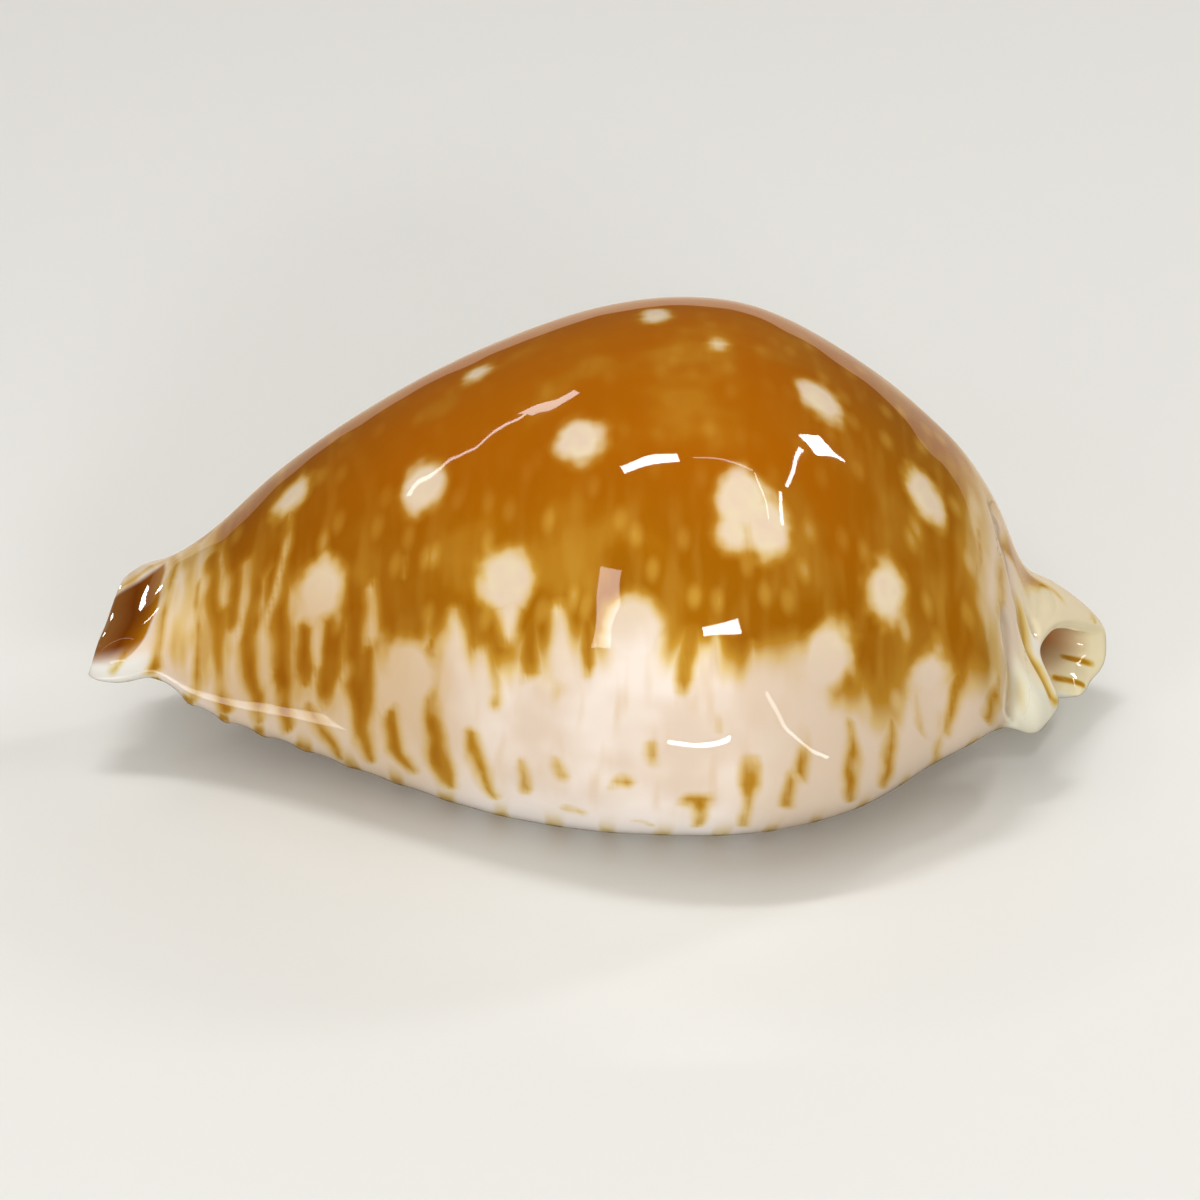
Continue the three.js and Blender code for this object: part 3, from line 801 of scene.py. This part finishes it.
spot_cream = add("Mix", {0: straw, 6: linear(SPOT_CREAMS[0]), 7: linear(SPOT_CREAMS[1])}, **RGBA)
on_back = add("MapRange", {0: mark["back"], 1: 0.5, 2: 4.5})
cream_share = add("Math", (step["spot"], on_back), operation="MULTIPLY")
ground = add("Mix", {0: cream_share, 6: ground, 7: spot_cream}, **RGBA)
# Inside the shell the enamel turns from cream at the rims to pinkish brown deeper in. The brown is its own colour, and
# the darkening with depth is partly painted shade.
deep_in_painted_shade = add("MapRange", {0: mark["rim"], 1: 1.0, 2: 3.6})
hollow_tone_and_shade = add("Mix", {0: deep_in_painted_shade, 6: linear(HOLLOW_TONE_AND_SHADE[0]), 7: linear(HOLLOW_TONE_AND_SHADE[1])}, **RGBA)
ground = add("Mix", {0: mark["hollow"], 6: ground, 7: hollow_tone_and_shade}, **RGBA)
print(len(TINTS), "tints on the ground")

# %% Enamel: the stain over the ground
# The stain's depth, and the shares of red, green and blue that it lets through.
STAIN = [(0, (1, 1, 1, 1)), (0.35, (0.87, 0.74, 0.38, 1)), (0.65, (0.64, 0.39, 0.05, 1)), (1, (0.45, 0.188, 0.002, 1))]
CREST_BROWN = "#a55900"
lets_through = add("ValToRGB", {0: depth}, stops=STAIN)
coloured = add("Mix", {0: 1.0, 6: ground, 7: lets_through}, **RGBA, blend_type="MULTIPLY")
# On the crest so many layers lie over each other that the brown hides the ground, and is a little redder.
high_back = add("MapRange", {0: mark["back"], 1: 4, 2: 14, 4: 0.8}, **SOFT)
ungilded = add("MapRange", {0: golden, 1: 0, 2: GOLDEN["most"], 3: 1, 4: 0.5})
for share in (stained, ungilded):
    high_back = add("Math", (high_back, share), operation="MULTIPLY")
coloured = add("Mix", {0: high_back, 6: coloured, 7: linear(CREST_BROWN)}, **RGBA)
print("stain lets through, at most", STAIN[0][1][:3], "and at least", STAIN[-1][1][:3])

# %% [markdown]
# The saddle of the anterior canal is a darker, thicker patch: golden at its edge, dark brown inside, and lighter
# again where it turns into the canal. At the other end the folds are painted darker the deeper they sink, as
# painted shade, and the creases are thin dark lines of painted shade.

# %% Enamel: saddle, folds and creases
SADDLE = [(0, linear("#a8700c")), (0.2, linear("#8c500a")), (0.5, linear("#6a3202")), (1, linear("#8c5c2c"))]
# Colours of the painted shade in the folds and along the creases.
FOLD_PAINTED_SHADE = "#8f7350"
CREASE_PAINTED_SHADE = "#7a5422"
saddle_mm = add("MapRange", {0: mark["saddle"], 1: 0, 2: 3.5})
saddle_tone = add("ValToRGB", {0: saddle_mm}, stops=SADDLE)
on_saddle = soft_share(
    (mark["saddle"], -0.15, 0.15, 0, 1), (mark["folded"], 0.73, 0.65, 0, 1), (mark["turn"], 0.43, 0.455, 0, 1))
coloured = add("Mix", {0: on_saddle, 6: coloured, 7: saddle_tone}, **RGBA)
# The folds are painted darker where the glaze sinks in: painted shade.
painted_fold_shade = add("MapRange", {0: mark["sunk"], 1: 0.08, 2: 0.38, 4: 0.4}, **SOFT)
coloured = add("Mix", {0: painted_fold_shade, 6: coloured, 7: linear(FOLD_PAINTED_SHADE)}, **RGBA)
# Thin dark lines along the creases: painted shade.
from_crease = add("Math", (noise["grain"], 0.25, mark["crease"]), operation="MULTIPLY_ADD")
from_crease = add("Math", (from_crease,), operation="ABSOLUTE")
painted_crease_shade = add("MapRange", {0: from_crease, 1: 0.16, 2: 0.03, 4: 0.5})
coloured = add("Mix", {0: painted_crease_shade, 6: coloured, 7: linear(CREASE_PAINTED_SHADE)}, **RGBA)
print("saddle from", SADDLE_EDGE[0][1], "to", SADDLE_EDGE[-1][1], "mm")

# %% [markdown]
# ### Surface
# The pigment lies inside the enamel, so only the outer face shines: the base has no reflection of its own, and
# a coat has them all. Waves of four millimetres, a few hundredths high, make the highlights tremble a little.
# The glaze is thin on the saddle, which is less bright for it.

# %% Enamel: the surface
waves = add("TexNoise", {"Vector": in_mm, "Scale": 0.25, "Detail": 1, "Roughness": 0.4})
wavy = add("Bump", {"Height": waves, "Distance": 0.1 * MM, "Strength": 1.0})
glaze = add("MapRange", {0: on_saddle, 3: 1.0, 4: 0.45})
surface_out = add("BsdfPrincipled", {
    "Base Color": coloured, "Roughness": 0.35, "IOR": 1.53, "Specular IOR Level": 0.0, "Normal": wavy,
    "Coat Weight": glaze, "Coat Roughness": 0.03, "Coat IOR": 1.42, "Coat Normal": wavy})
add("OutputMaterial", {"Surface": surface_out})
shell.data.materials.append(enamel)
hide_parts("shell")
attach(shell, "root")
print(enamel.name, "with", len(tree.nodes), "nodes")

# %% [markdown]
# ## Camera
# The photograph looks at the shell's columellar side from about thirty degrees above, with a long lens from
# some thirty centimetres away. The camera aims a little below the shell's middle, because the shell sits above
# the middle of the picture.

# %% Set the camera
VIEW_ELEVATION = 30
VIEW_DISTANCE = 295.7
FRAME_PIXELS = 1200
PIXELS_PER_MM = 16.64
MIDDLE_PIXEL = (604.4, 542.8)
MIDDLE_HEIGHT = 13.8
SENSOR = 36
CLIP_METRES = (0.01, 10)

elevation = math.radians(VIEW_ELEVATION)
back_to_camera = Vector((0, -math.cos(elevation), math.sin(elevation)))
image_up = Vector((0, math.sin(elevation), math.cos(elevation)))
aim = Vector((0, 0, MIDDLE_HEIGHT))
aim.x += (FRAME_PIXELS / 2 - MIDDLE_PIXEL[0]) / PIXELS_PER_MM
aim -= image_up * ((FRAME_PIXELS / 2 - MIDDLE_PIXEL[1]) / PIXELS_PER_MM)
camera_data = bpy.data.cameras.new("camera")
camera_data.sensor_width = SENSOR
camera_data.lens = SENSOR * VIEW_DISTANCE / (FRAME_PIXELS / PIXELS_PER_MM)
camera_data.clip_start, camera_data.clip_end = CLIP_METRES
camera = bpy.data.objects.new("camera", camera_data)
camera.location = (aim + back_to_camera * VIEW_DISTANCE) * MM
camera.rotation_mode = "QUATERNION"
camera.rotation_quaternion = (-back_to_camera).to_track_quat("-Z", "Y")
bpy.context.scene.collection.objects.link(camera)
bpy.context.scene.camera = camera
print("lens", round(camera_data.lens, 1), "mm")

# %% [markdown]
# ## Table and room
# A pale matt table shows the outline best, and catches a soft shadow. The room itself is dim and warm, because
# a bright one would lie on the glaze as a haze and wash out the browns. The colours are shown without a film
# curve, so that the hex values above keep their saturation.

# %% Build the table and the room
TABLE_HALF_SIDE = 3
TABLE_COLOUR = "#e2e2df"
TABLE_ROUGHNESS = 0.9
ROOM_COLOUR = "#f2dcb4"
ROOM_STRENGTH = 0.12
table_cut = bmesh.new()
bmesh.ops.create_grid(table_cut, x_segments=1, y_segments=1, size=TABLE_HALF_SIDE)
table = mesh_object("table_top", table_cut)
board, board_tree = new_material("painted_board_matt")
board_surface = add_node(
    board_tree, "BsdfPrincipled", {"Base Color": linear(TABLE_COLOUR), "Roughness": TABLE_ROUGHNESS})
add_node(board_tree, "OutputMaterial", {"Surface": board_surface})
table.data.materials.append(board)
# A table that the glaze doesn't mirror keeps the browns deep.
table.visible_glossy = False
world = bpy.data.worlds.new("room")
world.use_nodes = True
background = world.node_tree.nodes["Background"]
background.inputs["Color"].default_value = linear(ROOM_COLOUR)
background.inputs["Strength"].default_value = ROOM_STRENGTH
bpy.context.scene.world = world
bpy.context.scene.view_settings.view_transform = "Standard"
print("room strength", ROOM_STRENGTH)

# %% [markdown]
# ## Soft lamps
# Three wide lamps light the colours evenly. In a studio they would carry a polarising film, so that they light the
# stain but don't lie on the glaze as grey sheets. In Blender a lamp that is hidden from glossy rays does that.

# %% Hang the soft lamps
SOFT_LAMPS = {
    # name: place in mm, side in mm, brightness
    "overhead_softbox": ((-150, -150, 620), 560, 1.25),
    "front_softbox": ((60, -560, 260), 560, 1.48),
    "back_softbox": ((80, 560, 320), 460, 0.95),
}
# Its place, the way it faces and the way of its long side, its two sides in mm, and its brightness.
RIM_BOARD = (Vector((0, 420, -102)), Vector((0, 1, 0)), Vector((1, 0, 0)), (1600, 270), 0.62)
RIM_BOARD_COLOUR = "#ffe6cc"


def hang_lamp(name, place, facing, across, size, brightness):
    """Hangs a rectangular lamp that shines against facing, with its long side along across."""
    data = bpy.data.lights.new(name, "AREA")
    data.shape = "RECTANGLE"
    data.size, data.size_y = size[0] * MM, size[1] * MM
    data.energy = brightness * math.pi * data.size * data.size_y
    lamp = bpy.data.objects.new(name, data)
    upward = facing.cross(across).normalized()
    turn = Matrix((upward.cross(facing), upward, facing)).transposed()
    lamp.matrix_world = Matrix.Translation(place * MM) @ turn.to_4x4()
    lamp.visible_camera = False
    bpy.context.scene.collection.objects.link(lamp)
    print(name, "at", [round(v) for v in place], "mm,", round(size[0]), "x", round(size[1]), "mm")
    return lamp


# A pale board behind the shell does lie on the glaze, as the thin light rim under the top contour.
rim_board = hang_lamp("rim_board", *RIM_BOARD)
rim_board.data.color = linear(RIM_BOARD_COLOUR)[:3]
rim_board.visible_diffuse = False
for lamp_name, (place, side, brightness) in SOFT_LAMPS.items():
    place = Vector(place)
    lamp = hang_lamp(lamp_name, place, place.normalized(), Vector((1, 0, 0)), (side, side), brightness)
    lamp.visible_glossy = False

# %% [markdown]
# ## Lamps where the highlights ask for them
# A highlight is the mirror picture of a lamp. So a lamp isn't placed by trial: the camera's ray to the wanted
# highlight is mirrored on the shell, and the lamp is hung where that ray goes. Each lamp below is given by the
# two ends of its streak on the shell.

# %% Hang the lamps
LAMP_DISTANCE = 400
STEP_MM = 0.2
STEP_ROUND = 0.002
CORE_HEIGHT = 0.4
LAMPS = {
    # name: streak's ends as [mm along, way], thickness in degrees, brightness, distance in mm
    "ceiling_tube": ((0.7, 0.592), (4.2, 0.586), 4, 34, LAMP_DISTANCE),
    "back_window": ((11.7, 0.567), (13.0, 0.562), 6, 34, LAMP_DISTANCE),
    "back_window_edge": ((11.4, 0.571), (10.3, 0.597), 1, 30, LAMP_DISTANCE),
    "back_window_foot": ((10.0, 0.6), (10.1, 0.618), 1.2, 30, LAMP_DISTANCE),
    "back_window_sill": ((5.2, 0.586), (8.6, 0.591), 0.5, 9, LAMP_DISTANCE),
    "back_window_side": ((8.7, 0.592), (9.4, 0.617), 0.6, 14, LAMP_DISTANCE),
    "front_tube": ((5.7, 0.675), (7.8, 0.671), 4.5, 34, LAMP_DISTANCE),
    "front_panel": ((0.3, 0.645), (0.0, 0.684), 5.5, 8, LAMP_DISTANCE),
    "side_gleam": ((-1.4, 0.539), (-4.6, 0.549), 4, 9, LAMP_DISTANCE),
    "side_gleam_thin": ((-4.6, 0.549), (-11.5, 0.588), 0.8, 11, LAMP_DISTANCE),
    "table_gleam": ((3.7, 0.734), (7.2, 0.731), 2.6, 34, 20),
    "table_gleam_side": ((9.3, 0.706), (10.3, 0.724), 2.5, 7, 16),
    "table_gleam_foot": ((10.3, 0.724), (12.8, 0.745), 2, 9, 14),
    "margin_gleam": ((-24.8, 0.775), (-21.6, 0.785), 30, 4, 20),
    "canal_gleam": ((-28.0, 0.503), (-27.8, 0.507), 2.5, 30, 30),
    "canal_gleam_side": ((-27.0, 0.6), (-26.85, 0.6), 2.5, 30, 30),
}


def shell_at(x, way):
    """A point of the outside, in mm."""
    return Vector((x, *(float(v) for v in section(np.array(float(x)), np.array(float(way)), False))))


def mirrored(x, way):
    """Where the camera's ray goes on from a point of the shell."""
    here = shell_at(x, way)
    ahead = shell_at(x + STEP_MM, way) - shell_at(x - STEP_MM, way)
    onward = shell_at(x, way + STEP_ROUND) - shell_at(x, way - STEP_ROUND)
    normal = ahead.cross(onward).normalized()
    if normal.dot(here - Vector((here.x, 0, HEIGHT * CORE_HEIGHT))) < 0:
        normal = -normal
    sight = (here - camera.location / MM).normalized()
    return here, sight - 2 * sight.dot(normal) * normal


def hang_for_streak(name, first, last, thickness, brightness, distance):
    """Hangs a lamp whose mirror picture lies between two places of the shell."""
    here, start_ray = mirrored(*first)
    there, end_ray = mirrored(*last)
    one, two = here + start_ray * distance, there + end_ray * distance
    place = (one + two) / 2
    facing = (place - (here + there) / 2).normalized()
    size = ((two - one).length, 2 * distance * math.tan(math.radians(thickness / 2)))
    lamp = hang_lamp(name, place, facing, (two - one).normalized(), size, brightness)
    # A lamp that hangs close to the shell shows in the glaze only, and doesn't light the colours.
    lamp.visible_diffuse = distance == LAMP_DISTANCE


for lamp_name, (first, last, thickness, brightness, distance) in LAMPS.items():
    hang_for_streak(lamp_name, first, last, thickness, brightness, distance)
